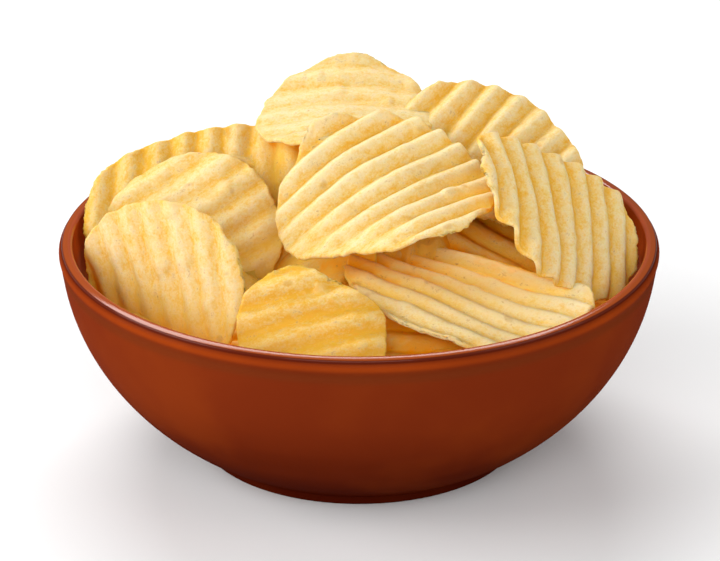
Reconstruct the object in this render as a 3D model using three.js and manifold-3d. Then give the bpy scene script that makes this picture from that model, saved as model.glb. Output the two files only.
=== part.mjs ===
// A glazed earthenware bowl heaped with crinkle-cut potato crisps.
// Millimetres, +Z up; the origin is on the floor under the middle of the bowl.
import * as THREE from 'three';
import { mergeVertices } from 'three/addons/utils/BufferGeometryUtils.js';
import Module from 'manifold-3d';

// Driving dimensions of the bowl
const BOWL_RADIUS = 82.5; // widest, at the lip
const BOWL_HEIGHT = 60.5;
const BODY_DROP = 69.2; // upright half-axis of the ellipse that the outside follows
const WALL = 4.5; // wall thickness
const LIP_HEIGHT = 6; // the bead that stiffens the mouth
const LIP_BULGE = 0.4; // how far the bead stands out from the body
const LIP_WIDTH = 3.9;
const LIP_CROWN = 2.2; // from the widest point of the lip in to its highest
const LIP_ROUNDING = 1.2;
const FOOT_RADIUS = 44.5;
const FOOT_HEIGHT = 3.2;
const FOOT_RING = 6; // width of the ring that the bowl stands on
const FOOT_RECESS = 2.5; // how far the underside is hollowed inside the ring
const FOOT_ROUNDING = 0.8;
const FLOOR_LEVEL = 7; // inside of the bottom
const FLOOR_BLEND = 7; // width of the curve from the bottom into the wall
const BOWL_SIDES = 36;

// Driving dimensions of the crisps
const PITCH = 7.4; // ridge to ridge
const RIPPLE = 1.1; // half the depth of the ridges on most crisps
const THICKNESS = 1.9;
const STEPS_PER_RIDGE = 4; // gives each ridge a flat top and a flat valley
const COARSE_STEPS = 2; // for crisps that lie lower or behind, whose ridges come to an edge
const STEPS_ALONG = 3; // stations along a ridge
const COARSE_ALONG = 2;
const END_ROW = 0.985; // how near the tip the last row across the ridges lies
const ROW_GAP = 0.6; // least space between the last two rows

// Driving dimensions of the packed crisps under the ones that show
const CLEARANCE = 0.6; // crisps to glaze
const CORE_EDGE = 42; // height where the packed crisps leave the wall
const CORE_TOP = 70;
const CORE_STEEPNESS = 8; // how fast the mound falls away from its top
const CORE_LEAN = { x: 5, y: 20 }; // how far the top of the mound is off centre
const CORE_FOOT = 8; // width of the curve from its flat bottom into its side
const CORE_SIDES = 18;

// One crisp to an entry. `at` is its middle. It starts flat with its ridges along X, is turned by
// `ridges`, then tipped up towards -Y by `lean`, then turned to face sideways by `faces` (degrees).
// `length` runs along the ridges and `width` across them. `bow`, `cup` and `twist` bend it out of its
// plane, `taper`, `skew`, `belly` and `square` shape its outline, `crest` shifts the ridges and
// `ripple` is half their depth.
const CRISPS = [
  { name: 'front left', at: [-54, -21, 54], faces: -38, lean: 78, ridges: 114, length: 47, width: 53,
    bow: -1, cup: 3, twist: 4, taper: -0.08, skew: 3, belly: 1, square: 2.3, crest: -1.6, ripple: 0.6 },
  { name: 'left', at: [-50, 2, 57], faces: -11, lean: 59, ridges: 37, length: 55, width: 48,
    bow: 2.5, cup: 6.5, twist: 1, taper: -0.15, skew: 3, belly: 4.5, square: 2.3, crest: -1.5, ripple: 0.9 },
  { name: 'back left', at: [-42, 13, 61.5], faces: -6, lean: 49, ridges: 91, length: 52, width: 68,
    bow: 2, cup: -2.5, twist: -3, taper: -0.06, skew: -4.5, belly: -1, square: 2.6, crest: 0.8,
    ripple: 0.95 },
  { name: 'top', at: [-4, 31, 85.5], faces: -3, lean: 10, ridges: 4, length: 49, width: 45,
    bow: 3, cup: -4, twist: 0.5, taper: -0.05, skew: 2.5, belly: 0, square: 2.1, crest: -0.6, ripple: 0.5 },
  { name: 'middle', at: [7, -12.5, 79.5], faces: -30, lean: 21.5, ridges: 62, length: 57, width: 61.5,
    bow: 4.5, cup: -3.5, twist: 4.5, taper: 0, skew: -2, belly: -3.5, square: 1.9, crest: 1.3,
    ripple: 1.05 },
  { name: 'back right', at: [36, 18.5, 75.5], faces: -7, lean: 42, ridges: 56, length: 45, width: 59,
    bow: 5.5, cup: 2, twist: 1, taper: 0.03, skew: 0.5, belly: 1, square: 2, crest: -2.7 },
  { name: 'right', at: [55, -14, 73.5], faces: 62, lean: 52, ridges: 46, length: 42, width: 59.5,
    bow: 2.5, cup: 0.5, twist: -3, taper: 0, skew: 1.5, belly: -4, square: 2.5, crest: -1.3 },
  { name: 'front right', at: [28.5, -31.5, 54.5], faces: 9, lean: 2.5, ridges: -48, length: 73, width: 49,
    bow: -1, cup: -1.5, twist: 3, taper: 0.14, skew: -2, belly: -7.5, square: 2.3, crest: -2.2,
    ripple: 0.9 },
  { name: 'front', at: [-13, -53, 53], faces: -7, lean: 45, ridges: 18, length: 39, width: 44,
    bow: 3, cup: 0, twist: -1.5, taper: 0.03, skew: 1, belly: 1.5, square: 2.4, crest: 2.2, ripple: 0.8 },
  { name: 'right of the middle', at: [40, 4, 57], faces: 0, lean: 14, ridges: -46, length: 54, width: 48,
    bow: 0, cup: 1, ripple: 1, steps: COARSE_STEPS },
  { name: 'front gap', at: [14, -47, 44.5], faces: 0, lean: 28, ridges: -8, length: 44, width: 38,
    steps: COARSE_STEPS },
  { name: 'left gap', at: [-20, -14, 46], faces: -14, lean: 12, ridges: 60, length: 50, width: 46,
    steps: COARSE_STEPS },
  { name: 'rear left', at: [-29, 43, 59.5], faces: 172, lean: 38, ridges: 20, length: 54, width: 50, bow: 3,
    steps: COARSE_STEPS },
  { name: 'rear middle', at: [8, 46, 69], faces: 183, lean: 32, ridges: 75, length: 58, width: 50, bow: 4,
    steps: COARSE_STEPS },
  { name: 'rear right', at: [38, 38, 60.5], faces: 150, lean: 40, ridges: -30, length: 54, width: 50,
    steps: COARSE_STEPS },
  { name: 'far left', at: [-47, 31, 53.5], faces: 222, lean: 42, ridges: 60, length: 42, width: 40,
    steps: COARSE_STEPS },
  { name: 'rear low', at: [0, 54.5, 51.5], faces: 178, lean: 48, ridges: 100, length: 46, width: 42,
    steps: COARSE_STEPS },
  { name: 'far right', at: [53, 17, 56], faces: 110, lean: 42, ridges: 10, length: 44, width: 46,
    steps: COARSE_STEPS },
  { name: 'front left low', at: [-32, -37, 43.5], faces: -42, lean: 4, ridges: 25, length: 44, width: 44,
    steps: COARSE_STEPS },
  { name: 'right gap', at: [52, -20.5, 47], faces: 70, lean: 24, ridges: 40, length: 36, width: 34,
    steps: COARSE_STEPS },
  { name: 'front right low', at: [34, -42, 45.5], faces: 30, lean: 2, ridges: -15, length: 42, width: 38,
    steps: COARSE_STEPS },
];
const PLAIN_CRISP = {
  bow: 2, cup: 2, twist: 0, taper: 0, skew: 0, belly: 0, square: 2.2, crest: 0, ripple: RIPPLE,
  steps: STEPS_PER_RIDGE,
};

const wasm = await Module();
wasm.setup();

const glaze = new THREE.MeshStandardMaterial({ color: 0x8c3d1c, roughness: 0.25, metalness: 0 });
const potato = new THREE.MeshStandardMaterial({ color: 0xe9bd6e, roughness: 0.6, metalness: 0 });

// Points between two heights on the ellipse that is `radius` wide at the lip and reaches `drop` below
// it, evenly spaced in angle
function bodyArc(radius, drop, from, to, steps) {
  const angle = (z) => Math.acos((BOWL_HEIGHT - z) / drop);
  const points = [];
  for (let i = 0; i <= steps; i++) {
    const a = THREE.MathUtils.lerp(angle(from), angle(to), i / steps);
    points.push(new THREE.Vector2(radius * Math.sin(a), BOWL_HEIGHT - drop * Math.cos(a)));
  }
  return points;
}

const profile = (pairs) => pairs.map(([r, z]) => new THREE.Vector2(r, z));
const INNER_RADIUS = BOWL_RADIUS - WALL;
const INNER_DROP = BODY_DROP - WALL;

function bowlGeometry() {
  const lipBase = BOWL_HEIGHT - LIP_HEIGHT;
  const body = BOWL_RADIUS - LIP_BULGE;
  const outside = bodyArc(body, BODY_DROP, FOOT_HEIGHT + FOOT_ROUNDING / 2, lipBase, 7);
  const lip = profile([
    [body, lipBase + LIP_ROUNDING],
    [BOWL_RADIUS, lipBase + 2 * LIP_ROUNDING],
    [BOWL_RADIUS - LIP_ROUNDING / 4, BOWL_HEIGHT - LIP_ROUNDING],
    [BOWL_RADIUS - LIP_ROUNDING, BOWL_HEIGHT - LIP_ROUNDING / 6],
    [BOWL_RADIUS - LIP_CROWN, BOWL_HEIGHT],
    [BOWL_RADIUS - LIP_WIDTH + LIP_ROUNDING / 2, BOWL_HEIGHT - LIP_ROUNDING],
    [BOWL_RADIUS - LIP_WIDTH, lipBase + 2 * LIP_ROUNDING],
  ]);
  const floorEdge = FLOOR_LEVEL + LIP_ROUNDING;
  const inside = bodyArc(INNER_RADIUS, INNER_DROP, lipBase - LIP_ROUNDING, floorEdge, 6);
  const foot = profile([
    [0, FOOT_RECESS],
    [FOOT_RADIUS - FOOT_RING - FOOT_ROUNDING, FOOT_RECESS],
    [FOOT_RADIUS - FOOT_RING, 0],
    [FOOT_RADIUS - FOOT_ROUNDING, 0],
    [FOOT_RADIUS, FOOT_ROUNDING],
    [FOOT_RADIUS, FOOT_HEIGHT - FOOT_ROUNDING / 2],
  ]);
  const wallFoot = inside.at(-1).x;
  const bottom = profile([
    [wallFoot - FLOOR_BLEND / 2, FLOOR_LEVEL + LIP_ROUNDING / 6],
    [wallFoot - FLOOR_BLEND, FLOOR_LEVEL],
    [0, FLOOR_LEVEL],
  ]);
  return new THREE.LatheGeometry([...foot, ...outside, ...lip, ...inside, ...bottom], BOWL_SIDES);
}

// The packed crisps below the ones that show: they fill the bowl, then rise as an off-centre mound
function coreGeometry() {
  const lowest = FLOOR_LEVEL + CLEARANCE;
  const sideFoot = lowest + 2 * CLEARANCE;
  const wall = bodyArc(INNER_RADIUS - CLEARANCE, INNER_DROP - CLEARANCE, sideFoot, CORE_EDGE, 4);
  const rim = wall.at(-1).x;
  const rise = CORE_TOP - CORE_EDGE;
  const mound = profile(
    [0.8, 0.6, 0.4, 0.2, 0].map((share) => {
      return [rim * share, CORE_EDGE + rise * (1 - share ** 2) ** CORE_STEEPNESS];
    }),
  );
  const bottom = profile([
    [0, lowest],
    [wall[0].x - CORE_FOOT, lowest],
  ]);
  const geometry = new THREE.LatheGeometry([...bottom, ...wall, ...mound], CORE_SIDES);
  const position = geometry.attributes.position;
  for (let i = 0; i < position.count; i++) {
    const height = position.getY(i);
    const share = Math.max(0, (height - CORE_EDGE) / rise);
    position.setX(i, position.getX(i) + CORE_LEAN.x * share);
    position.setZ(i, position.getZ(i) - CORE_LEAN.y * share);
  }
  return geometry;
}

// Height of a crisp's middle surface above its own plane
function crispHeight(c, u, v) {
  const along = (2 * u) / c.length;
  const across = (2 * v) / c.width;
  const ripple = c.ripple * Math.cos((2 * Math.PI * (v - c.crest)) / PITCH);
  return ripple - c.bow * along ** 2 - c.cup * across ** 2 + c.twist * along * across;
}

// Rows of [u, v] across the ridges, inside the crisp's outline
function crispGrid(c, along) {
  const rowCount = Math.round((c.width / PITCH) * c.steps);
  const step = PITCH / c.steps;
  const offset = c.steps === COARSE_STEPS ? 0 : 0.5; // a coarse crisp has its rows on the tops and valleys
  const reach = (c.width / 2) * END_ROW;
  const first = Math.ceil((-reach - c.crest) / step - offset);
  const rows = [-reach];
  for (let k = first; k <= first + rowCount; k++) {
    const v = c.crest + (k + offset) * step;
    if (Math.abs(v) < reach - ROW_GAP) rows.push(v);
  }
  rows.push(reach);
  return rows.map((v) => {
    const s = v / (c.width / 2);
    const half = (c.length / 2) * (1 - Math.abs(s) ** c.square) ** (1 / c.square) * (1 + c.taper * s);
    const middle = c.skew * s + c.belly * (0.5 - s ** 2);
    const row = [];
    for (let i = 0; i <= along; i++) row.push([middle + half * ((2 * i) / along - 1), v]);
    return row;
  });
}

// A crisp as a closed slab of even thickness, placed in the heap
function crispGeometry(entry) {
  const c = { ...PLAIN_CRISP, ...entry };
  const stepsAlong = c.steps === COARSE_STEPS ? COARSE_ALONG : STEPS_ALONG;
  const rows = crispGrid(c, stepsAlong);
  const rowLength = stepsAlong + 1;
  const faceCount = rows.length * rowLength;
  const corners = [];
  const nudge = 0.05;
  for (const side of [1, -1]) {
    for (const [u, v] of rows.flat()) {
      const slopeU = (crispHeight(c, u + nudge, v) - crispHeight(c, u - nudge, v)) / (2 * nudge);
      const slopeV = (crispHeight(c, u, v + nudge) - crispHeight(c, u, v - nudge)) / (2 * nudge);
      const normal = new THREE.Vector3(-slopeU, -slopeV, 1).normalize();
      const point = new THREE.Vector3(u, v, crispHeight(c, u, v));
      corners.push(point.addScaledVector(normal, (side * THICKNESS) / 2));
    }
  }
  const index = [];
  const quad = (a, b, d, e) => index.push(a, b, d, a, d, e);
  for (let r = 0; r + 1 < rows.length; r++) {
    for (let i = 0; i < stepsAlong; i++) {
      const a = r * rowLength + i;
      quad(a, a + 1, a + 1 + rowLength, a + rowLength);
      quad(a + faceCount, a + rowLength + faceCount, a + 1 + rowLength + faceCount, a + 1 + faceCount);
    }
    const left = r * rowLength;
    const right = left + stepsAlong;
    quad(left, left + rowLength, left + rowLength + faceCount, left + faceCount);
    quad(right + rowLength, right, right + faceCount, right + rowLength + faceCount);
  }
  for (let i = 0; i < stepsAlong; i++) {
    const last = (rows.length - 1) * rowLength + i;
    quad(i + 1, i, i + faceCount, i + 1 + faceCount);
    quad(last, last + 1, last + 1 + faceCount, last + faceCount);
  }
  const geometry = new THREE.BufferGeometry().setFromPoints(corners);
  geometry.setIndex(index);
  const radians = THREE.MathUtils.degToRad;
  geometry.rotateZ(radians(c.ridges));
  geometry.rotateX(radians(c.lean));
  geometry.rotateZ(radians(c.faces));
  geometry.translate(...c.at);
  return geometry;
}

const SAME_POINT = 1e-4;

function toSolid(geometry) {
  const bare = geometry.clone();
  bare.deleteAttribute('normal');
  bare.deleteAttribute('uv');
  const merged = mergeVertices(bare, SAME_POINT);
  return new wasm.Manifold(
    new wasm.Mesh({
      numProp: 3,
      vertProperties: new Float32Array(merged.attributes.position.array),
      triVerts: new Uint32Array(merged.index.array),
    }),
  );
}

function fromSolid(solid) {
  const { vertProperties, triVerts } = solid.getMesh();
  const geometry = new THREE.BufferGeometry();
  geometry.setAttribute('position', new THREE.BufferAttribute(vertProperties, 3));
  geometry.setIndex(new THREE.BufferAttribute(triVerts, 1));
  geometry.computeVertexNormals();
  return geometry;
}

// Joins the crisps to the packed core and keeps the one outer body, so that sealed hollows fill up
function heapGeometry() {
  const core = coreGeometry().rotateX(Math.PI / 2);
  let heap = toSolid(core);
  for (const entry of CRISPS) heap = heap.add(toSolid(crispGeometry(entry)));
  const bodies = heap.decompose().sort((a, b) => b.volume() - a.volume());
  return fromSolid(bodies[0]);
}

const bowl = new THREE.Mesh(bowlGeometry().rotateX(Math.PI / 2), glaze);
bowl.name = 'bowl';

const crisps = new THREE.Mesh(heapGeometry(), potato);
crisps.name = 'crisps';

const bowlOfCrisps = new THREE.Group();
bowlOfCrisps.add(bowl, crisps);

export default bowlOfCrisps;
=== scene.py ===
"""A glazed earthenware bowl heaped with crinkle-cut potato crisps."""
import math
import random

import bpy
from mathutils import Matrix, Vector


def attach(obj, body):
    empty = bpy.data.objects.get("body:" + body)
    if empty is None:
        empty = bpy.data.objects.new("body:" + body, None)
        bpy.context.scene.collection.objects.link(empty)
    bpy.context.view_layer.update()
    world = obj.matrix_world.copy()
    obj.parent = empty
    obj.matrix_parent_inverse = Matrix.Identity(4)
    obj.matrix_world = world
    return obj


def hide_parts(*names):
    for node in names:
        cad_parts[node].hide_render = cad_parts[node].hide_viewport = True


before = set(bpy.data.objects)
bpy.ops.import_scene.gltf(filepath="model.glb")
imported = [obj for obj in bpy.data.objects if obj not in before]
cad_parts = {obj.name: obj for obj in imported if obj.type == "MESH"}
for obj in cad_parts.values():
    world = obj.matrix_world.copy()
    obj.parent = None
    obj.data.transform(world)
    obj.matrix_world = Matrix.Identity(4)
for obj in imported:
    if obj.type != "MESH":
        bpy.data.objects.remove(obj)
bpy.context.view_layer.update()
MM = 0.001
TURN = 2 * math.pi

# ---------------------------------------------------------------- the bowl, in millimetres

BOWL_RADIUS = 82.5
BOWL_HEIGHT = 60.5
BODY_DROP = 69.2  # upright half-axis of the ellipse that the outside follows
WALL = 4.5
LIP_HEIGHT = 6.0  # the bead that stiffens the mouth
LIP_BASE = BOWL_HEIGHT - LIP_HEIGHT
LIP_BULGE = 0.4
LIP_WIDTH = 3.8
LIP_CORNER = 0.5  # radius of its outer edge
LIP_ROUND = 0.9  # radius of its inner edge
GROOVE_HEIGHT = BOWL_HEIGHT - 1.1  # of the fine line under the lip's crown
FOOT_RADIUS = 44.5
FOOT_HEIGHT = 3.2
FOOT_RING = 6.0
FOOT_ROUND = 0.8
FOOT_RECESS = 2.5
FLOOR_LEVEL = 7.0
BOWL_SIDES = 288

# ---------------------------------------------------------------- the heap, in millimetres

PITCH = 7.4  # ridge to ridge
THICKNESS = 1.35
RIDGE_WANDER = 5.0
BUCKLE = 4.0
FLUTTER = 2.0  # how far the rim waves
LUMPS = 0.9
BLISTER_RISE = 0.55
RIM_TEETH = 0.07  # how ragged the rim is, as a share of the crisp
BITE_TEETH = 0.15  # and how much more where a piece is broken off, as a share of that piece
CALM_REACH = 0.35  # how far round from a break the ridges flatten, as 1 minus a cosine
WELD = 0.002  # the two faces of a crisp meet within this at the rim

CLEARANCE = 0.9  # packed crisps to glaze
BED_EDGE = 41.0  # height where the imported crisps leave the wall
BED_TOP = 66.0
BED_STEEPNESS = 8
BED_LEAN = (5.0, 20.0)  # how far the top of the mound is off centre
BED_RINGS = 120
BED_SIDES = 320
BED_PATCH = 34.0
BED_RIPPLE = 0.9
BED_TILT = 0.22  # steepest slope of a patch
BED_LIFT = 3.0  # most that a patch is raised
BED_TONE = 1.6

CRUMB_SEED = 11
CRUMB_TRIES = 400
CRUMB_SIZES = (7.0, 17.0)
CRUMB_ROOM = 4.0  # height that a crumb needs below a crisp
CRUMB_SPACING = 0.45  # least distance of two middles, as a share of both lengths
CRUMBS_FROM = 50.0  # distances from the bowl's axis
CRUMBS_TO = 74.0

# Meshes: rows for each ridge, and columns
FINE_MESH = (18, 84)
PLAIN_MESH = (12, 48)
CRUMB_MESH = (16, 20)
ROUGH_MESH = (6, 24)  # only to measure how far the crisps shade each other
ROUGH_SIDES = 48
SHOWN_IN_FRONT = 9  # the first crisps of the list are the large ones and get the fine mesh

SKY_RAYS = 32
SKY_REACH = 60.0
SKY_LIFT = 0.8  # the rays start this far off the surface

# One crisp to an entry. `at` is its middle. It starts flat with its ridges along X, is turned by
# `ridges`, then tipped up towards -Y by `lean`, then turned to face sideways by `faces` (degrees).
# `length` runs along the ridges and `width` across them. `bow`, `cup` and `twist` bend it out of its
# plane, `taper`, `skew`, `belly`, `square` and `uneven` shape its outline, `crest` shifts the ridges
# and `ripple` is half their depth. A piece is broken off the rim at the bearing `chip_at`, to
# `chip_depth` and `chip_width` as shares, and `calm` flattens the ridges there. `tone` says how long
# it was fried: about 0 is pale and about 1 is golden. An entry leaves out what is as in PLAIN_CRISP.
PLAIN_CRISP = dict(bow=2, cup=2, twist=0, taper=0, skew=0, belly=0, square=2.2, crest=0, uneven=0.07,
                   chip_at=0, chip_width=0.05, chip_depth=0, calm=0, ripple=1.1, tone=0.7,
                   pitch=PITCH, thickness=THICKNESS)
CRISPS = {
    "crisp_front_left": dict(at=(-54, -21, 54), faces=-38, lean=78, ridges=114, length=47, width=53,
                             bow=-1, cup=3, twist=4, taper=-0.08, skew=3, belly=1, square=2.3,
                             crest=-1.6, ripple=0.52, tone=0.35),
    "crisp_left": dict(at=(-50, 2, 57), faces=-11, lean=59, ridges=37, length=55, width=48,
                       bow=2.5, cup=6.5, twist=1, taper=-0.15, skew=3, belly=4.5, square=2.3,
                       crest=-1.5, ripple=0.7, tone=0.35),
    "crisp_back_left": dict(at=(-42, 13, 61.5), faces=-6, lean=49, ridges=91, length=52, width=68,
                            bow=2, cup=-2.5, twist=-3, taper=-0.06, skew=-4.5, belly=-1, square=2.6,
                            crest=0.8, ripple=0.75, tone=1.0),
    "crisp_top": dict(at=(-4, 31, 85.5), faces=-3, lean=10, ridges=4, length=49, width=45,
                      bow=3, cup=-4, twist=0.5, taper=-0.05, skew=2.5, square=2.1,
                      crest=-0.6, ripple=0.42, tone=0.1),
    "crisp_middle": dict(at=(7, -12.5, 79.5), faces=-30, lean=21.5, ridges=62, length=57, width=61.5,
                         bow=4.5, cup=-3.5, twist=4.5, skew=-2, belly=-3.5, square=1.9,
                         crest=1.3, ripple=1.3, tone=0.3,
                         chip_at=205, chip_width=0.06, chip_depth=0.1, calm=0.85),
    "crisp_back_right": dict(at=(36, 18.5, 75.5), faces=-7, lean=42, ridges=56, length=45, width=59,
                             bow=5.5, cup=2, twist=1, taper=0.03, skew=0.5, belly=1, square=2,
                             crest=-2.7, ripple=1.1, tone=0.5,
                             chip_at=215, chip_width=0.2, chip_depth=0.26),
    "crisp_right": dict(at=(55, -14, 73.5), faces=62, lean=52, ridges=46, length=42, width=59.5,
                        bow=2.5, cup=0.5, twist=-3, skew=1.5, belly=-4, square=2.5,
                        crest=-1.3, ripple=1.1, tone=0.5,
                        chip_at=142, chip_width=0.03, chip_depth=0.06),
    "crisp_front_right": dict(at=(28.5, -31.5, 54.5), faces=9, lean=2.5, ridges=-48, length=73, width=49,
                              bow=-1, cup=-1.5, twist=3, taper=0.14, skew=-2, belly=-7.5, square=2.3,
                              crest=-2.2, ripple=0.9, tone=-0.3),
    "crisp_front": dict(at=(-13, -53, 53), faces=-7, lean=45, ridges=18, length=39, width=44,
                        bow=3, cup=0, twist=-1.5, taper=0.03, skew=1, belly=1.5, square=2.4,
                        crest=2.2, ripple=0.75, tone=1.3,
                        chip_at=47, chip_width=0.12, chip_depth=0.2),
    "crisp_right_of_middle": dict(at=(40, 5, 56), faces=0, lean=14, ridges=-46, length=54, width=48,
                                  bow=0, cup=1, ripple=1.0),
    "crisp_front_gap": dict(at=(14, -47, 44.5), faces=0, lean=28, ridges=-8, length=44, width=38),
    "crisp_left_gap": dict(at=(-20, -14, 46), faces=-14, lean=12, ridges=60, length=50, width=46),
    "crisp_rear_left": dict(at=(-29, 43, 59.5), faces=172, lean=38, ridges=20, length=54, width=50,
                            bow=3),
    "crisp_rear_middle": dict(at=(8, 46, 69), faces=183, lean=32, ridges=75, length=58, width=50, bow=4),
    "crisp_rear_right": dict(at=(38, 38, 60.5), faces=150, lean=40, ridges=-30, length=54, width=50),
    "crisp_far_left": dict(at=(-47, 31, 53.5), faces=222, lean=42, ridges=60, length=42, width=40),
    "crisp_rear_low": dict(at=(0, 54.5, 51.5), faces=178, lean=48, ridges=100, length=46, width=42),
    "crisp_far_right": dict(at=(53, 17, 56), faces=110, lean=42, ridges=10, length=44, width=46),
    "crisp_front_left_low": dict(at=(-32, -37, 43.5), faces=-42, lean=4, ridges=25, length=44, width=44),
    "crisp_right_gap": dict(at=(52, -20.5, 47), faces=70, lean=24, ridges=40, length=36, width=34),
    "crisp_front_right_low": dict(at=(34, -42, 45.5), faces=30, lean=2, ridges=-15, length=42, width=38),
}

# ---------------------------------------------------------------- the studio

CAMERA_PLACE = (0.0, -1001.2, 485.9)  # millimetres
CAMERA_AIM = (0.24, 0.0, 46.9)
VIEW_WIDTH = 720  # pixels
FOCAL_LENGTH = 3955.2  # in the same pixels
SENSOR_WIDTH = 36.0  # millimetres
LIGHT_AIM = (0.0, 0.0, 0.05)  # this and the lights' places and sizes in metres
LIGHTS = {
    "front": dict(place=(-0.1, -1.55, 0.85), size=(1.4, 1.0), power=18),
    "back": dict(place=(-0.2, 1.25, 1.3), size=(1.35, 0.5), power=23),
    "left": dict(place=(-1.4, -0.3, 0.6), size=(1.2, 1.2), power=23),
    "right": dict(place=(1.4, -0.5, 0.7), size=(1.2, 1.2), power=8),
}
ROOM_LIGHT = 0.22
STUDIO_FLOOR = 4.0  # metres from its middle to each side


# ---------------------------------------------------------------- nodes as Python expressions

class Wire:
    """A node's output that takes part in Python arithmetic: each operator adds a Math node."""

    def __init__(self, tree, socket):
        self.tree = tree
        self.socket = socket

    def maths(self, operation, *others):
        sockets = dict(enumerate((self, *others)))
        return self.tree.add("ShaderNodeMath", {"operation": operation}, sockets)["Value"]

    def __add__(self, other):
        return self.maths("ADD", other)

    __radd__ = __add__

    def __mul__(self, other):
        return self.maths("MULTIPLY", other)

    __rmul__ = __mul__

    def __sub__(self, other):
        return self.maths("SUBTRACT", other)

    def __rsub__(self, other):
        return (self * -1) + other

    def __truediv__(self, other):
        return self.maths("DIVIDE", other)

    def __rtruediv__(self, other):
        return self.maths("POWER", -1) * other

    def __pow__(self, other):
        return self.maths("POWER", other)

    def __neg__(self):
        return self * -1

    def __abs__(self):
        return self.maths("ABSOLUTE")

    def ramp(self, low, high):
        """0 at or below low, 1 at or above high, smooth between."""
        settings = {"interpolation_type": "SMOOTHSTEP"}
        sockets = {"Value": self, "From Min": low, "From Max": high}
        return self.tree.add("ShaderNodeMapRange", settings, sockets)["Result"]

    def bell(self, width):
        """1 at zero, fading on both sides over about the given width."""
        return (-((self / width) ** 2.0)).maths("EXPONENT")


class Node:
    """A node whose outputs are picked by name and come as wires."""

    def __init__(self, tree, made):
        self.tree = tree
        self.made = made

    def __getitem__(self, name):
        return Wire(self.tree, find_socket(self.made.outputs, name))


def find_socket(sockets, key):
    if isinstance(key, int):
        return sockets[key]
    return next(s for s in sockets if s.enabled and key in (s.name, s.identifier))


class Tree:
    """A shader or geometry node tree under construction."""

    def __init__(self, made):
        self.made = made

    def add(self, kind, settings=None, sockets=None):
        """Adds one node: its settings first, then the values or wires of its sockets."""
        node = self.made.nodes.new(kind)
        for name, value in (settings or {}).items():
            setattr(node, name, value)
        for key, value in (sockets or {}).items():
            socket = find_socket(node.inputs, key)
            for one in value if isinstance(value, list) else [value]:
                if isinstance(one, Wire):
                    self.made.links.new(one.socket, socket)
                else:
                    socket.default_value = one
        return Node(self, node)

    def noise(self, place, scale, detail=2.0, roughness=0.5):
        """Soft noise from about 0 to 1, with `scale` lumps to each unit of `place`."""
        sockets = {"Vector": place, "Scale": scale, "Detail": detail, "Roughness": roughness}
        return self.add("ShaderNodeTexNoise", {"noise_dimensions": "3D"}, sockets)["Fac"]

    def vector(self, x, y, z):
        return self.add("ShaderNodeCombineXYZ", {}, {"X": x, "Y": y, "Z": z})["Vector"]

    def parts(self, vector):
        return self.add("ShaderNodeSeparateXYZ", {}, {"Vector": vector})

    def vector_maths(self, operation, *values):
        sockets = dict(enumerate(values))
        return self.add("ShaderNodeVectorMath", {"operation": operation}, sockets)

    def attribute(self, name, output="Fac"):
        return self.add("ShaderNodeAttribute", {"attribute_name": name})[output]

    def mix(self, share, first, second):
        """Blends two colours."""
        sockets = {"Factor_Float": share, "A_Color": first, "B_Color": second}
        settings = {"data_type": "RGBA"}
        return self.add("ShaderNodeMix", settings, sockets)["Result_Color"]

    def keep(self, mesh, name, value, kind="FLOAT"):
        """Stores a value on every point of a mesh, where the finish can read it."""
        settings = {"data_type": kind, "domain": "POINT"}
        sockets = {"Geometry": mesh, "Name": name, "Value": value}
        return self.add("GeometryNodeStoreNamedAttribute", settings, sockets)["Geometry"]

    def shift(self, mesh, sockets):
        return self.add("GeometryNodeSetPosition", {}, {"Geometry": mesh, **sockets})["Geometry"]

    def close(self, shape, finish):
        """Ends a geometry tree with a plain mesh in its finish."""
        shape = self.add("GeometryNodeRealizeInstances", {}, {"Geometry": shape})["Geometry"]
        sockets = {"Geometry": shape, "Material": finish}
        shape = self.add("GeometryNodeSetMaterial", {}, sockets)["Geometry"]
        self.add("NodeGroupOutput", {}, {"Geometry": shape})


def rgb(red, green, blue):
    return (red, green, blue, 1.0)


# ---------------------------------------------------------------- makers of geometry nodes

CRISP_SIZES = ("Length", "Width", "Bow", "Cup", "Twist", "Skew", "Belly", "Crest", "Ripple", "Pitch",
               "Thickness")
CRISP_SHARES = ("Taper", "Square", "Uneven", "Tone", "Chip Width", "Chip Depth", "Calm")
CRISP_ANGLES = ("Ridges", "Lean", "Faces", "Chip At")


def new_group(name, kinds):
    """An empty geometry tree with named inputs: the group, its tree, the inputs and their wires."""
    group = bpy.data.node_groups.new(name, "GeometryNodeTree")
    tree = Tree(group)
    inputs = {}
    for key, kind in kinds.items():
        inputs[key] = group.interface.new_socket(
            name=key, in_out="INPUT", socket_type="NodeSocket" + kind)
    group.interface.new_socket(name="Geometry", in_out="OUTPUT", socket_type="NodeSocketGeometry")
    return group, tree, inputs, tree.add("NodeGroupInput")


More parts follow.
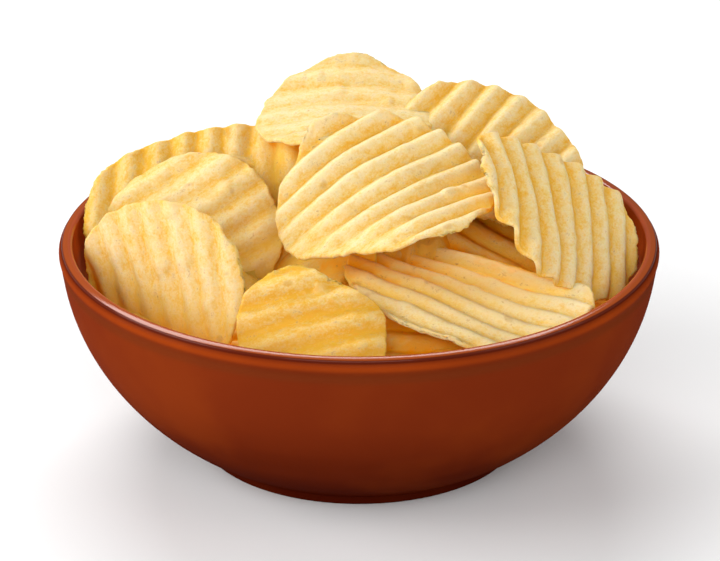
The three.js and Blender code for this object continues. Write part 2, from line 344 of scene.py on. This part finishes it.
def crisp_maker():
    """Geometry nodes that make one crinkle-cut crisp. Returns the group and its inputs by name."""
    kinds = dict.fromkeys(CRISP_SIZES + CRISP_SHARES + CRISP_ANGLES, "Float")
    kinds.update({"At": "Vector", "Seed": "Float", "Rows": "Int", "Columns": "Int", "Finish": "Material"})
    group, tree, inputs, given = new_group("crinkle crisp", kinds)

    # Rows are spread across the ridges and columns along them, both closer together at the rim
    grid = tree.add("GeometryNodeMeshGrid", {}, {
        "Size X": 2.0, "Size Y": 2.0, "Vertices X": given["Columns"], "Vertices Y": given["Rows"]})
    on_grid = tree.parts(tree.add("GeometryNodeInputPosition")["Position"])
    crowding = 0.93 * TURN / 4
    column = (on_grid["X"] * crowding).maths("SINE") / math.sin(crowding)
    row = (on_grid["Y"] * (TURN / 4)).maths("SINE")

    # The outline: `reach` is 0 in the middle and 1 at the rim
    square = given["Square"]
    root = 1 / square
    away = abs(row) ** square
    half = given["Length"] / 2 * (1 - away).maths("MAXIMUM", 0.0) ** root * (given["Taper"] * row + 1)
    middle = given["Skew"] * row + given["Belly"] * (0.5 - row * row)
    plain_x = middle + half * column
    plain_y = row * given["Width"] / 2
    reach = (away + abs(column) ** square * (1 - away)).maths("MINIMUM", 1.0) ** root
    bearing = tree.vector_maths("NORMALIZE", tree.vector(
        plain_x / given["Length"], plain_y / given["Width"], 0.0))["Vector"]
    around = tree.vector_maths("ADD", bearing, tree.vector(0.0, 0.0, given["Seed"]))["Vector"]
    sweep = tree.noise(around, 1.5, 1.0) - 0.5
    nibble = tree.noise(around, 9.0, 3.0, 0.6) - 0.5
    chip_way = tree.vector(given["Chip At"].maths("COSINE"), given["Chip At"].maths("SINE"), 0.0)
    off_chip = 1 - tree.vector_maths("DOT_PRODUCT", bearing, chip_way)["Value"]
    chip = given["Chip Depth"] * off_chip.bell(given["Chip Width"])
    ragged = nibble * (RIM_TEETH + chip * BITE_TEETH)
    grow = 1 + reach * reach * (given["Uneven"] * sweep * 2 + ragged - chip)
    x = plain_x * grow
    y = plain_y * grow

    # Its height: ridges that wander a little and vary in depth, on a bent and slightly buckled sheet
    flat = tree.vector(x, y, given["Seed"])
    wander = (tree.noise(flat, 28.0, 1.0) - 0.5) * (RIDGE_WANDER * MM)
    ridge = ((y + wander - given["Crest"]) / given["Pitch"] * TURN).maths("COSINE")
    fading = given["Calm"] * off_chip.bell(CALM_REACH) * reach.ramp(0.2, 1.0)
    depth = given["Ripple"] * (tree.noise(flat, 45.0, 1.0) * 0.7 + 0.65) * (1 - fading)
    along = 2 * x / given["Length"]
    across = 2 * y / given["Width"]
    sheet = (given["Twist"] * along * across - given["Bow"] * along * along
             - given["Cup"] * across * across)
    buckle = (tree.noise(flat, 38.0, 1.0) - 0.5) * (BUCKLE * MM)
    flutter = (tree.noise(around, 2.6, 2.0) - 0.5) * reach ** 4.0 * (FLUTTER * MM)
    lumps = (tree.noise(flat, 230.0, 3.0, 0.6) - 0.5) * (LUMPS * MM)
    cell = tree.add("ShaderNodeTexVoronoi", {"feature": "F1"}, {"Vector": flat, "Scale": 150.0})
    one_in_four = tree.parts(cell["Color"])["X"].ramp(0.74, 0.76)
    blister = (1 - cell["Distance"].ramp(0.1, 0.5)) * one_in_four * (BLISTER_RISE * MM)
    height = depth * ridge + sheet + buckle + flutter + lumps + blister

    # Full thickness up to a rounded rim
    to_rim = (1 - reach) * ((given["Length"] + given["Width"]) / 4)
    short = 1 - (to_rim / (given["Thickness"] / 2)).maths("MINIMUM", 1.0)
    fullness = (1 - short * short).maths("MAXIMUM", 0.0).maths("SQRT")

    mesh = grid["Mesh"]
    for name, value in (("ridge", ridge * depth / MM), ("to_rim", to_rim), ("fullness", fullness),
                        ("blister", blister), ("tone", given["Tone"])):
        mesh = tree.keep(mesh, name, value)
    mesh = tree.keep(mesh, "along_ridges", flat, "FLOAT_VECTOR")
    mesh = tree.shift(mesh, {"Position": tree.vector(x, y, height)})
    normal = tree.add("GeometryNodeInputNormal")["Normal"]
    kept = tree.add("GeometryNodeInputNamedAttribute", {"data_type": "FLOAT"}, {"Name": "fullness"})
    faces = []
    for side in (1, -1):
        lift = kept["Attribute"] * given["Thickness"] * (side / 2)
        offset = tree.add("ShaderNodeVectorMath", {"operation": "SCALE"}, {0: normal, "Scale": lift})
        face = tree.shift(mesh, {"Offset": offset["Vector"]})
        if side < 0:
            face = tree.add("GeometryNodeFlipFaces", {}, {"Mesh": face})["Mesh"]
        faces.append(face)
    shape = tree.add("GeometryNodeJoinGeometry", {}, {"Geometry": faces})["Geometry"]
    shape = tree.add("GeometryNodeMergeByDistance", {}, {
        "Geometry": shape, "Distance": WELD * MM})["Geometry"]

    # Its place in the heap
    turns = (
        tree.vector(0.0, 0.0, given["Ridges"]),
        tree.vector(given["Lean"], 0.0, 0.0),
        tree.vector(0.0, 0.0, given["Faces"]),
    )
    for turn in turns:
        rotation = tree.add("FunctionNodeEulerToRotation", {}, {"Euler": turn})["Rotation"]
        shape = tree.add("GeometryNodeTransform", {}, {
            "Geometry": shape, "Rotation": rotation})["Geometry"]
    shape = tree.add("GeometryNodeTransform", {}, {
        "Geometry": shape, "Translation": given["At"]})["Geometry"]
    shape = tree.add("GeometryNodeSetShadeSmooth", {}, {"Geometry": shape})["Geometry"]
    tree.close(shape, given["Finish"])
    return group, inputs


def bed_maker():
    """Geometry nodes that lift the bed's top into tilted, ridged patches, as if crisps lay every way."""
    kinds = {"Geometry": "Geometry", "Bed": "Object", "Pitch": "Float", "Ripple": "Float",
             "Patch": "Float", "Tilt": "Float", "Lift": "Float", "Edge": "Float", "Rim": "Float",
             "Tone": "Float", "Finish": "Material"}
    group, tree, inputs, given = new_group("packed crisps", kinds)
    shape = tree.add("GeometryNodeObjectInfo", {}, {"Object": given["Bed"]})["Geometry"]
    place = tree.add("GeometryNodeInputPosition")["Position"]
    on_plan = tree.vector_maths("MULTIPLY", place, (1.0, 1.0, 0.0))["Vector"]
    cells = {"Vector": on_plan, "Scale": 1 / given["Patch"], "Randomness": 0.9}
    patches = tree.add("ShaderNodeTexVoronoi", {"feature": "F1"}, cells)
    to_edge = tree.add("ShaderNodeTexVoronoi", {"feature": "DISTANCE_TO_EDGE"}, cells)["Distance"]
    chance = tree.parts(patches["Color"])
    away = tree.vector_maths("SUBTRACT", on_plan, patches["Position"])["Vector"]

    def along(turns):
        """How far each point lies from its patch's middle, in a direction given in whole turns."""
        angle = turns * TURN
        way = tree.vector(angle.maths("COSINE"), angle.maths("SINE"), 0.0)
        return tree.vector_maths("DOT_PRODUCT", away, way)["Value"]

    across = along(chance["X"])
    ridge = (across / given["Pitch"] * TURN).maths("COSINE")
    from_axis = tree.vector_maths("LENGTH", on_plan)["Value"]
    free = 1 - from_axis.ramp(given["Rim"] - 5 * MM, given["Rim"] - 1 * MM)
    height = tree.parts(place)["Z"]
    on_top = height.ramp(given["Edge"] - 0.6 * MM, given["Edge"] - 0.2 * MM)
    tilted = along(chance["Y"]) * given["Tilt"] + chance["Z"] * given["Lift"]
    lift = (ridge * given["Ripple"] + tilted) * free * on_top
    for name, value in (("ridge", ridge * given["Ripple"] / MM), ("tone", given["Tone"]),
                        ("to_rim", to_edge * given["Patch"]), ("blister", 0.0)):
        shape = tree.keep(shape, name, value)
    strewn = tree.vector(along(chance["X"] + 0.25), across, chance["Z"])
    shape = tree.keep(shape, "along_ridges", strewn, "FLOAT_VECTOR")
    shape = tree.shift(shape, {"Offset": tree.vector(0.0, 0.0, lift)})
    tree.close(shape, given["Finish"])
    return group, inputs


def sky_meter():
    """Geometry nodes that store how much of the sky in front of each point the heap leaves open."""
    kinds = {"Geometry": "Geometry", "Surroundings": "Object", "Reach": "Float", "Finish": "Material"}
    group, tree, inputs, given = new_group("open sky", kinds)
    heap = tree.add("GeometryNodeObjectInfo", {}, {"Object": given["Surroundings"]})["Geometry"]
    normal = tree.add("GeometryNodeInputNormal")["Normal"]
    place = tree.add("GeometryNodeInputPosition")["Position"]
    start = tree.vector_maths("MULTIPLY_ADD", normal, (SKY_LIFT * MM,) * 3, place)["Vector"]
    open_share = 0.0
    whole = 0.0001  # not 0, for the faces that look straight down
    golden = TURN / 2 * (3 - math.sqrt(5))
    for i in range(SKY_RAYS):
        rise = (i + 0.5) / SKY_RAYS
        flat = math.sqrt(1 - rise * rise)
        way = (flat * math.cos(golden * i), flat * math.sin(golden * i), rise)
        facing = tree.vector_maths("DOT_PRODUCT", normal, way)["Value"].maths("MAXIMUM", 0.0)
        blocked = tree.add("GeometryNodeRaycast", {}, {
            "Target Geometry": heap, "Source Position": start, "Ray Direction": way,
            "Ray Length": given["Reach"]})["Is Hit"]
        open_share = facing * (1 - blocked) + open_share
        whole = facing + whole
    tree.close(tree.keep(given["Geometry"], "open_sky", open_share / whole), given["Finish"])
    return group, inputs


def new_piece(name, mesh):
    piece = bpy.data.objects.new(name, mesh)
    bpy.context.scene.collection.objects.link(piece)
    return piece


def made_by_nodes(name, *steps):
    """Runs makers one after another, each with its values, and keeps the result as a plain mesh."""
    holder = new_piece(name + "_maker", bpy.data.meshes.new(name + "_maker"))
    for (group, inputs), values in steps:
        modifier = holder.modifiers.new(group.name, "NODES")
        modifier.node_group = group
        for key, value in values.items():
            modifier[inputs[key].identifier] = value
    bpy.context.view_layer.update()
    evaluated = holder.evaluated_get(bpy.context.evaluated_depsgraph_get())
    mesh = bpy.data.meshes.new_from_object(evaluated)
    mesh.name = name
    bpy.data.objects.remove(holder)
    return new_piece(name, mesh)


def crisp_values(entry, number, finish, mesh_size):
    """One entry of the list as the maker's inputs, in metres and radians."""
    crisp = {key.replace("_", " ").title(): value for key, value in {**PLAIN_CRISP, **entry}.items()}
    rows_per_ridge, columns = mesh_size
    values = {key: crisp[key] * MM for key in CRISP_SIZES}
    values.update({key: float(crisp[key]) for key in CRISP_SHARES})
    values.update({key: math.radians(crisp[key]) for key in CRISP_ANGLES})
    values["At"] = [x * MM for x in crisp["At"]]
    values["Seed"] = 3.7 * number + 1.3  # far enough apart for each crisp to have its own noise
    values["Rows"] = round(crisp["Width"] / PITCH * rows_per_ridge)
    values["Columns"] = columns
    values["Finish"] = finish
    return values


# ---------------------------------------------------------------- turned shapes

def turned(name, profile, sides):
    """A closed turned mesh from (radius, height) pairs in mm that start and end on the axis."""
    rings = profile[1:-1]
    vertices = [(0, 0, profile[0][1] * MM)]
    for r, z in rings:
        for i in range(sides):
            angle = TURN * i / sides
            vertices.append((r * math.cos(angle) * MM, r * math.sin(angle) * MM, z * MM))
    vertices.append((0, 0, profile[-1][1] * MM))
    faces = []
    for i in range(sides):
        j = (i + 1) % sides
        faces.append((0, 1 + j, 1 + i))
        for ring in range(len(rings) - 1):
            a, b = 1 + ring * sides, 1 + (ring + 1) * sides
            faces.append((a + i, a + j, b + j, b + i))
        last = 1 + (len(rings) - 1) * sides
        faces.append((last + i, last + j, len(vertices) - 1))
    mesh = bpy.data.meshes.new(name)
    mesh.from_pydata(vertices, [], faces)
    mesh.shade_smooth()
    return new_piece(name, mesh)


def body_arc(radius, drop, low, high, steps):
    """Points on the ellipse that the wall follows, evenly spaced in angle from one height to another."""
    first, last = (math.acos((BOWL_HEIGHT - z) / drop) for z in (low, high))
    angles = [first + (last - first) * i / steps for i in range(steps + 1)]
    return [(radius * math.sin(a), BOWL_HEIGHT - drop * math.cos(a)) for a in angles]


def arc(centre, radius, start, end, steps):
    """Points on a circle arc between two angles in degrees."""
    angles = [math.radians(start + (end - start) * i / steps) for i in range(steps + 1)]
    return [(centre[0] + radius * math.cos(a), centre[1] + radius * math.sin(a)) for a in angles]


def foot_profile():
    """From the axis across the recess and round the foot ring."""
    ring_inside = FOOT_RADIUS - FOOT_RING
    fillet = 1.2
    foot = [(0, FOOT_RECESS), (ring_inside - 3, FOOT_RECESS)]
    foot += arc((ring_inside - fillet - 0.2, FOOT_RECESS - fillet), fillet, 90, 0, 5)
    foot += arc((ring_inside + FOOT_ROUND, FOOT_ROUND), FOOT_ROUND, 180, 270, 5)
    foot += arc((FOOT_RADIUS - FOOT_ROUND, FOOT_ROUND), FOOT_ROUND, 270, 360, 5)
    return foot + [(FOOT_RADIUS, FOOT_HEIGHT - 0.9), (FOOT_RADIUS + 0.15, FOOT_HEIGHT - 0.35)]


def lip_profile():
    """From the neck below the lip, out over its bulge and groove, across the crown and down inside."""
    body = BOWL_RADIUS - LIP_BULGE
    neck = [(body - 0.32, LIP_BASE - 0.7), (body - 0.42, LIP_BASE), (body - 0.38, LIP_BASE + 0.7),
            (body - 0.2, LIP_BASE + 1.3), (body + 0.06, LIP_BASE + 1.9), (body + 0.26, LIP_BASE + 2.4)]
    bulge = [(BOWL_RADIUS - 0.02, LIP_BASE + 2.9), (BOWL_RADIUS, LIP_BASE + 3.4),
             (BOWL_RADIUS - 0.06, LIP_BASE + 3.9), (BOWL_RADIUS - 0.22, GROOVE_HEIGHT - 0.55),
             (BOWL_RADIUS - 0.48, GROOVE_HEIGHT - 0.22)]
    groove = [(BOWL_RADIUS - 0.8, GROOVE_HEIGHT), (BOWL_RADIUS - 0.76, GROOVE_HEIGHT + 0.2)]
    inner_edge = BOWL_RADIUS - LIP_WIDTH
    crown = arc((BOWL_RADIUS - 0.78 - LIP_CORNER, BOWL_HEIGHT - 0.32 - LIP_CORNER), LIP_CORNER, 0, 78, 6)
    crown += [(BOWL_RADIUS - 1.75, BOWL_HEIGHT - 0.17), (BOWL_RADIUS - 2.2, BOWL_HEIGHT - 0.07),
              (BOWL_RADIUS - 2.7, BOWL_HEIGHT)]
    crown += arc((inner_edge + LIP_ROUND, BOWL_HEIGHT - LIP_ROUND - 0.05), LIP_ROUND, 98, 180, 8)
    step_in = [(inner_edge - 0.1, LIP_BASE + 3.2), (inner_edge - 0.3, LIP_BASE + 1.8)]
    return neck + bulge + groove + crown + step_in


def bowl_profile():
    outside = body_arc(BOWL_RADIUS - LIP_BULGE, BODY_DROP, FOOT_HEIGHT + 0.3, LIP_BASE - 1.2, 60)
    inside = body_arc(BOWL_RADIUS - WALL, BODY_DROP - WALL, LIP_BASE, FLOOR_LEVEL + 1.2, 50)
    corner = inside[-1][0]
    bottom = [(corner - 2.2, FLOOR_LEVEL + 0.5), (corner - 5, FLOOR_LEVEL + 0.12),
              (corner - 9, FLOOR_LEVEL), (0, FLOOR_LEVEL)]
    return foot_profile() + outside + lip_profile() + inside + bottom


def bed_profile():
    """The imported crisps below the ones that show: down the wall inside, then a steep-sided mound."""
    lowest = FLOOR_LEVEL + CLEARANCE
    inner, drop = BOWL_RADIUS - WALL - CLEARANCE, BODY_DROP - WALL - CLEARANCE
    wall = body_arc(inner, drop, lowest + 2, BED_EDGE, 16)
    rim = wall[-1][0]
    shares = [1 - i / BED_RINGS for i in range(1, BED_RINGS)]
    mound = [(rim * k, BED_EDGE + (BED_TOP - BED_EDGE) * (1 - k * k) ** BED_STEEPNESS) for k in shares]
    return [(0, lowest), (wall[0][0] - 8, lowest)] + wall + mound + [(0, BED_TOP)]


def smooth_bed():
    """The bed before its patches, with its top pushed off centre."""
    bed = turned("smooth_bed", bed_profile(), BED_SIDES)
    for vertex in bed.data.vertices:
        rise = max(0.0, (vertex.co.z / MM - BED_EDGE) / (BED_TOP - BED_EDGE))
        vertex.co.x += BED_LEAN[0] * MM * rise
        vertex.co.y += BED_LEAN[1] * MM * rise
    return bed


# ---------------------------------------------------------------- finishes

def new_material(name):
    material = bpy.data.materials.new(name)
    material.use_nodes = True
    material.node_tree.nodes.clear()
    return material, Tree(material.node_tree)


def finish_surface(tree, sockets):
    shader = tree.add("ShaderNodeBsdfPrincipled", {}, sockets)
    tree.add("ShaderNodeOutputMaterial", {}, {"Surface": shader["BSDF"]})


def potato_finish():
    """Fried potato: cream on the ridges and gold in the valleys, with painted golden light and amber
    painted shade where the heap shuts out the light.
    """
    material, tree = new_material("fried potato")
    place = tree.add("ShaderNodeTexCoord")["Object"]
    ridge = tree.attribute("ridge")
    strewn = tree.vector_maths(
        "MULTIPLY", tree.attribute("along_ridges", "Vector"), (0.5, 1.0, 1.0))["Vector"]
    cloud = tree.noise(place, 60.0, 3.0)
    grain = tree.noise(strewn, 620.0, 3.0, 0.7)
    fine = tree.noise(place, 1700.0, 2.0, 0.6)
    blots = tree.noise(place, 150.0, 1.0)
    cream = rgb(0.77, 0.635, 0.35)
    gold = rgb(0.75, 0.51, 0.155)
    amber = rgb(0.73, 0.39, 0.035)
    toast = rgb(0.48, 0.24, 0.05)
    # The next three colours are painted light and shade, not the potato's own colour
    painted_low_light = rgb(0.84, 0.49, 0.045)
    painted_half_shade_gold = rgb(0.90, 0.62, 0.10)
    painted_deep_shade = rgb(0.96, 0.40, 0.004)

    # How pale each point is: amber, then gold, then cream. Gold in the valleys is partly fried colour and
    # partly painted shade.
    level = (ridge * 0.36 + 0.68 + (cloud - 0.5) * 0.8 + (grain - 0.5) * 2.2 + (fine - 0.5) * 1.2
             - tree.attribute("tone") * 0.5)
    colour = tree.mix(level.ramp(-0.3, 0.55), amber, gold)
    colour = tree.mix(level.ramp(0.2, 1.2), colour, cream)
    blistered = (tree.attribute("blister") / (0.5 * MM)).ramp(0.3, 1.0)
    colour = tree.mix(blistered * 0.25, colour, cream)
    rim_share = (1 - tree.attribute("to_rim").ramp(0.2 * MM, 2.2 * MM)) * cloud.ramp(0.3, 0.7)
    colour = tree.mix(rim_share * 0.35, colour, amber)

    # Painted light and shade: golden where light would have passed through other crisps, amber in the gaps
    # and low in the bowl
    height = tree.parts(place)["Z"]
    painted_low_light_share = 1 - height.ramp((BED_EDGE - 6) * MM, BOWL_HEIGHT * MM)
    colour = tree.mix(painted_low_light_share * 0.8, colour, painted_low_light)
    open_sky = tree.attribute("open_sky")
    half_shade = (1 - open_sky.ramp(0.1, 0.95)) * (0.65 - ridge * 0.35)
    colour = tree.mix(half_shade, colour, painted_half_shade_gold)
    # Painted shade, amber, on buried crisps and where the heap shuts out the sky
    painted_buried_shade = 1 - height.ramp((BED_EDGE - 2) * MM, (BED_EDGE + 9) * MM)
    shade = (1 - open_sky.ramp(0.0, 0.36)) * (1 - ridge * 0.2) + painted_buried_shade * 0.8
    colour = tree.mix(shade, colour, painted_deep_shade)

    # Fried specks, most of them in the valleys, and a few larger spots
    specks = grain.ramp(0.55, 0.70) * fine.ramp(0.4, 0.65) * (0.9 - ridge * 0.25)
    colour = tree.mix(specks * 0.75, colour, toast)
    colour = tree.mix(blots.ramp(0.71, 0.77) * 0.35, colour, toast)
    relief = grain * 0.6 + fine * 0.4
    bump = {"Strength": 0.6, "Distance": 0.42 * MM, "Height": relief}
    finish_surface(tree, {
        "Base Color": colour,
        "Roughness": 0.55 - grain * 0.1,
        "Specular IOR Level": 0.06,
        "Subsurface Weight": 0.3,
        "Subsurface Radius": (1.0, 0.5, 0.12),
        "Subsurface Scale": 2.2 * MM,
        "Normal": tree.add("ShaderNodeBump", {}, bump)["Normal"],
    })
    return material


def glaze_finish():
    """Transparent brown glaze over red earthenware: it thins to rust at the lip, and painted shade darkens
    it below and along the groove under the crown.
    """
    material, tree = new_material("brown glaze")
    place = tree.add("ShaderNodeTexCoord")["Object"]
    axes = tree.parts(place)
    height = axes["Z"]
    radius = (axes["X"] * axes["X"] + axes["Y"] * axes["Y"]).maths("SQRT")
    banded = tree.vector_maths("MULTIPLY", place, (1.0, 1.0, 5.0))["Vector"]
    throwing = tree.noise(banded, 22.0, 2.0)
    cloud = tree.noise(place, 26.0, 3.0)
    grain = tree.noise(place, 500.0, 2.0)
    brown = rgb(0.15, 0.0185, 0.0036)
    painted_deep_shade = rgb(0.050, 0.0042, 0.0008)
    rust = rgb(0.38, 0.068, 0.006)
    orange = rgb(0.36, 0.050, 0.003)
    painted_groove_shade = rgb(0.075, 0.008, 0.003)
    neck_brown = rgb(0.12, 0.022, 0.005)
    inner_brown = rgb(0.36, 0.085, 0.035)

    def above(low, high):
        """0 up to one height above the floor in mm, 1 from another, smooth between."""
        return height.ramp(low * MM, high * MM)

    def between(low, high, blur):
        """1 between two heights above the floor, in mm."""
        return above(low - blur, low + blur) * (1 - above(high - blur, high + blur))

    # The body, with painted shade that darkens it towards the foot
    depth = height / (BOWL_HEIGHT * MM) + (cloud - 0.5) * 0.15 + (throwing - 0.5) * 0.2
    colour = tree.mix(depth.ramp(0.0, 0.7), painted_deep_shade, brown)
    colour = tree.mix(cloud.ramp(0.45, 0.75) * 0.12, colour, rust)
    # Painted shade on the foot ring
    colour = tree.mix(between(FOOT_HEIGHT - 2.5, FOOT_HEIGHT, 0.6) * 0.45, colour, painted_deep_shade)

    # An ellipse in the middle of the wall parts the outside from the inside
    out = radius / ((BOWL_RADIUS - WALL / 2) * MM)
    down = (BOWL_HEIGHT * MM - height) / ((BODY_DROP - WALL / 2) * MM)
    outside = (out * out + down * down).ramp(0.98, 1.0)

    # The lip: darker in its neck, a warm band on its bulge, a thin crown, and painted shade along the
    # groove under the crown
    colour = tree.mix(between(LIP_BASE - 1.0, LIP_BASE + 1.8, 1.2) * 0.6, colour, neck_brown)
    warm = between(LIP_BASE + 2.7, LIP_BASE + 4.3, 0.7) * (cloud * 0.5 + 0.1) * outside
    colour = tree.mix(warm, colour, orange)
    colour = tree.mix(above(GROOVE_HEIGHT + 0.2, BOWL_HEIGHT - 0.2) * 0.7, colour, rust)
    # Painted shade: a dark maroon line along the groove under the crown
    off_edge = abs(radius - (BOWL_RADIUS - 0.85) * MM)
    edge = (1 - off_edge.ramp(0.1 * MM, 0.45 * MM)) * above(GROOVE_HEIGHT - 0.8, GROOVE_HEIGHT - 0.3)
    colour = tree.mix(edge * 0.85, colour, painted_groove_shade)
    colour = tree.mix((1 - outside) * 0.75, colour, inner_brown)
    inner_lip = (1 - outside) * above(BOWL_HEIGHT - 9, BOWL_HEIGHT - 5)
    colour = tree.mix(inner_lip * (cloud * 0.6 + 0.6), colour, orange)

    relief = throwing * 0.7 + grain * 0.06
    bump = {"Strength": 0.2, "Distance": 0.5 * MM, "Height": relief}
    crown = above(GROOVE_HEIGHT + 0.1, GROOVE_HEIGHT + 0.8)
    finish_surface(tree, {
        "Base Color": colour,
        "Roughness": 0.32 + (cloud - 0.5) * 0.12,
        "Specular IOR Level": 0.0,
        "Coat Weight": crown * 0.45 + (1 - outside) * 0.25 + 0.014,
        "Coat Roughness": 0.12,
        "Normal": tree.add("ShaderNodeBump", {}, bump)["Normal"],
    })
    return material


def floor_finish():
    material, tree = new_material("pale floor")
    cloud = tree.noise(tree.add("ShaderNodeTexCoord")["Object"], 3.0, 2.0)
    colour = tree.mix(cloud, rgb(0.86, 0.86, 0.86), rgb(0.88, 0.88, 0.88))
    finish_surface(tree, {"Base Color": colour, "Roughness": 0.8})
    return material


# ---------------------------------------------------------------- the object

def joined(name, pieces):
    """One plain mesh object from several, which are removed."""
    vertices, faces = [], []
    for piece in pieces:
        first = len(vertices)
        vertices += [tuple(v.co) for v in piece.data.vertices]
        faces += [[first + i for i in polygon.vertices] for polygon in piece.data.polygons]
        bpy.data.objects.remove(piece)
    mesh = bpy.data.meshes.new(name)
    mesh.from_pydata(vertices, [], faces)
    return new_piece(name, mesh)


def wear(piece, material, slot, *nodes):
    """Gives a finished piece its material and body, and hides the imported parts that it stands for."""
    if piece.data.materials:
        piece.data.materials[0] = material
    else:
        piece.data.materials.append(material)
    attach(piece, "root")
    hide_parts(*nodes)


def crumb_entries(bed, surroundings):
    """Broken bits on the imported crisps, where no whole crisp hides them and none is in their way."""
    chance = random.Random(CRUMB_SEED)
    entries = []
    straight_down = Vector((0, 0, -1))
    for _ in range(CRUMB_TRIES):
        size = chance.uniform(*CRUMB_SIZES)
        out, bearing = chance.uniform(CRUMBS_FROM, CRUMBS_TO - size / 2), chance.uniform(0, TURN)
        x, y = out * math.cos(bearing), out * math.sin(bearing)
        if any(math.hypot(x - e["at"][0], y - e["at"][1]) < CRUMB_SPACING * (size + e["length"])
               for e in entries):
            continue
        arm = size * 0.45  # the rays go down at the middle and just inside the rim
        above = [Vector((x + dx * arm, y + dy * arm, 2 * BOWL_HEIGHT)) * MM
                 for dx, dy in ((0, 0), (1, 0), (-1, 0), (0, 1), (0, -1))]
        spots = [bed.ray_cast(start, straight_down)[1] for start in above]
        covers = [surroundings.ray_cast(start, straight_down)[1] for start in above]
        gaps = [(cover.z - spot.z) / MM for cover, spot in zip(covers, spots)]
        if gaps[0] > 0 or any(-1 < gap < CRUMB_ROOM for gap in gaps):
            continue
        level = sum(spot.z for spot in spots) / len(spots) / MM
        entries.append(dict(
            at=(x, y, level + THICKNESS), faces=chance.uniform(0, 360), lean=chance.uniform(0, 12),
            ridges=chance.uniform(0, 180), length=size, width=size * chance.uniform(0.6, 1.1),
            bow=0.4, cup=0.4, uneven=0.35, ripple=0.7, tone=chance.uniform(0.1, 1.1)))
    return entries


wear(turned("glazed_bowl", bowl_profile(), BOWL_SIDES), glaze_finish(), "glaze", "bowl")

crisp_nodes = crisp_maker()
potato = potato_finish()
rough_pieces = [turned("rough_bowl", bowl_profile(), ROUGH_SIDES)]
for number, (crisp_name, entry) in enumerate(CRISPS.items()):
    rough = crisp_values(entry, number, potato, ROUGH_MESH)
    rough_pieces.append(made_by_nodes("rough_" + crisp_name, (crisp_nodes, rough)))
surroundings = joined("surroundings", rough_pieces)
measure_sky = (sky_meter(), {
    "Surroundings": surroundings, "Reach": SKY_REACH * MM, "Finish": potato})

plain_bed = smooth_bed()
bed_values = {
    "Bed": plain_bed, "Pitch": PITCH * MM, "Ripple": BED_RIPPLE * MM, "Patch": BED_PATCH * MM,
    "Tilt": BED_TILT, "Lift": BED_LIFT * MM, "Edge": BED_EDGE * MM,
    "Rim": (BOWL_RADIUS - WALL - CLEARANCE) * MM, "Tone": BED_TONE, "Finish": potato}
bed = made_by_nodes("packed_crisps", (bed_maker(), bed_values), measure_sky)
bpy.data.objects.remove(plain_bed)
wear(bed, potato, "potato", "crisps")

crumbs = {"crumb_%d" % i: entry for i, entry in enumerate(crumb_entries(bed, surroundings), 1)}
for number, (piece_name, entry) in enumerate({**CRISPS, **crumbs}.items()):
    mesh_size = CRUMB_MESH if piece_name in crumbs else PLAIN_MESH
    if number < SHOWN_IN_FRONT:
        mesh_size = FINE_MESH
    values = crisp_values(entry, number, potato, mesh_size)
    piece = made_by_nodes(piece_name, (crisp_nodes, values), measure_sky)
    wear(piece, potato, "potato", "crisps")
bpy.data.objects.remove(surroundings)


# ---------------------------------------------------------------- lights, floor and camera

def soft_light(name, place, size, power):
    """An area light that faces the middle of the heap."""
    data = bpy.data.lights.new(name, "AREA")
    data.shape = "RECTANGLE"
    data.size, data.size_y = size
    data.energy = power
    light = bpy.data.objects.new(name, data)
    light.location = place
    light.rotation_euler = (Vector(LIGHT_AIM) - Vector(place)).to_track_quat("-Z", "Y").to_euler()
    bpy.context.scene.collection.objects.link(light)


for light_name, light_values in LIGHTS.items():
    soft_light(light_name, **light_values)

world = bpy.data.worlds.new("studio")
bpy.context.scene.world = world
world.use_nodes = True
background = world.node_tree.nodes["Background"]
background.inputs["Color"].default_value = rgb(1.0, 1.0, 1.0)
background.inputs["Strength"].default_value = ROOM_LIGHT

floor_corners = [(x * STUDIO_FLOOR, y * STUDIO_FLOOR, 0) for x, y in ((-1, -1), (1, -1), (1, 1), (-1, 1))]
floor_mesh = bpy.data.meshes.new("floor")
floor_mesh.from_pydata(floor_corners, [], [(0, 1, 2, 3)])
floor = new_piece("floor", floor_mesh)
floor.data.materials.append(floor_finish())

camera_data = bpy.data.cameras.new("camera")
camera_data.sensor_width = SENSOR_WIDTH
camera_data.lens = FOCAL_LENGTH / VIEW_WIDTH * SENSOR_WIDTH
camera = bpy.data.objects.new("camera", camera_data)
camera.location = Vector(CAMERA_PLACE) * MM
camera.rotation_euler = (Vector(CAMERA_AIM) - Vector(CAMERA_PLACE)).to_track_quat("-Z", "Y").to_euler()
bpy.context.scene.collection.objects.link(camera)
bpy.context.scene.camera = camera
bpy.context.scene.view_settings.view_transform = "Standard"
